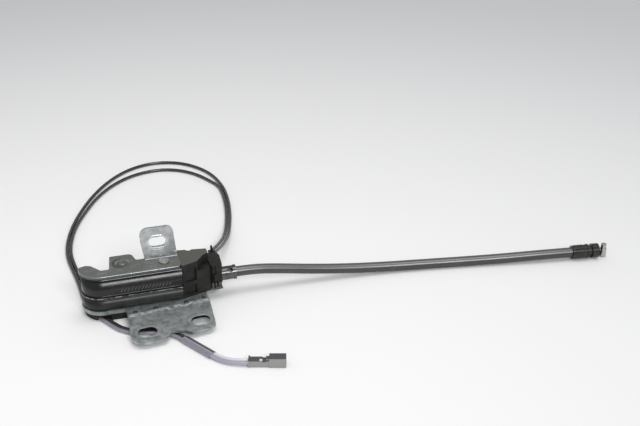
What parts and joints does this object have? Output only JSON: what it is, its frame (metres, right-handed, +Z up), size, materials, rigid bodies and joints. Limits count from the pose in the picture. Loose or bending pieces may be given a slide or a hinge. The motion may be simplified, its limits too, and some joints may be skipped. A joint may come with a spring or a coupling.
{
  "type": "door latch",
  "caption": "Claw door latch with a slotted mounting flange and tab, a sheathed release cable with a barrel end, and a long two-wire switch lead with a plug.",
  "frame": {"origin": "on the fork's pivot axis, at the underside of the bottom cover that the latch rests on", "axes": "+X along the body towards the release cable, +Y towards the side that the striker enters from, +Z up from the resting face along the rivets"},
  "size_m": [0.3826, 0.3297, 0.0558],
  "materials": {
    "zinc_plate": "zinc plated, satin",
    "galvanised_plate": "galvanised, mottled",
    "gloss_casing": "smooth moulded",
    "lower_casing": "smooth moulded",
    "matte_moulding": "fine moulded grain",
    "claw_steel": "hardened and phosphated",
    "claw_jacket": "overmoulded",
    "spring_steel": "drawn wire",
    "rivet_steel": "bright zinc",
    "stop_rubber": "soft matte",
    "sheath": "extruded",
    "ferrule_steel": "zinc plated, dull",
    "black_ferrule": "black, glossy",
    "coated_plate": "black coated, edges worn to the metal",
    "cable_wire": "stranded",
    "black_insulation": "extruded",
    "grey_insulation": "extruded",
    "plug_plastic": "moulded",
    "terminal_brass": "stamped",
    "switch_plastic": "moulded"
  },
  "bodies": {
    "body": {"top_plate": "zinc_plate", "upper_casing": "gloss_casing", "middle_plate": "coated_plate", "lower_casing": "lower_casing", "bottom_plate": "galvanised_plate", "bottom_cover": "matte_moulding", "rear_housing": "matte_moulding", "cable_block": "matte_moulding", "lead_grommet": "stop_rubber", "snap_clip": "zinc_plate", "cable_tie": "switch_plastic", "fork_rivet": "rivet_steel", "pawl_rivet": "rivet_steel", "fork_spring": "spring_steel", "pawl_spring": "spring_steel", "lever_pin": "rivet_steel", "striker_buffer": "stop_rubber", "block_ferrule": "ferrule_steel", "release_cable": "sheath", "end_ferrule": "black_ferrule", "microswitch": "switch_plastic", "grey_lead": "grey_insulation", "black_lead": "black_insulation", "lead_sleeve": "sheath", "plug_housing": "plug_plastic", "plug_terminals": "terminal_brass", "plug_latch": "plug_plastic"},
    "fork": {"fork_claw": "claw_steel", "fork_jacket": "claw_jacket"},
    "pawl": {"pawl": "claw_steel"},
    "lever": {"release_lever": "claw_steel"},
    "latch_pull": {"latch_core": "cable_wire", "latch_nipple": "terminal_brass"},
    "far_pull": {"end_core": "cable_wire", "end_barrel": "ferrule_steel"},
    "plunger": {"switch_plunger": "switch_plastic"}
  },
  "joints": [
    {"name": "fork_turn", "type": "hinge", "parent": "body", "child": "fork", "pos_m": [0, 0, 0.0207], "axis": [0, 0, 1], "range_deg": [0, 50], "stiffness_Nm_per_rad": 0.02},
    {"name": "pawl_swing", "type": "hinge", "parent": "body", "child": "pawl", "pos_m": [0.0271, -0.006, 0.0207], "axis": [0, 0, -1], "range_deg": [0, 12], "stiffness_Nm_per_rad": 0.02},
    {"name": "lever_turn", "type": "hinge", "parent": "body", "child": "lever", "pos_m": [0.046, 0.008, 0.02], "axis": [0, 0, 1], "range_deg": [0, 30]},
    {"name": "core_pull", "type": "slide", "parent": "body", "child": "latch_pull", "axis": [1, 0, 0], "range_m": [0, 0.0059]},
    {"name": "far_pull", "type": "slide", "parent": "body", "child": "far_pull", "axis": [0.9909, -0.1349, 0], "range_m": [0, 0.0059]},
    {"name": "plunger_press", "type": "slide", "parent": "body", "child": "plunger", "axis": [1, 0, 0], "range_m": [0, 0.00128]}
  ],
  "couplings": [
    {"joint": "lever_turn", "follows": "pawl_swing", "ratio": 2.5},
    {"joint": "core_pull", "follows": "pawl_swing", "m_per_rad": 0.02815},
    {"joint": "far_pull", "follows": "pawl_swing", "m_per_rad": 0.02815},
    {"joint": "plunger_press", "follows": "pawl_swing", "m_per_rad": 0.0061}
  ]
}
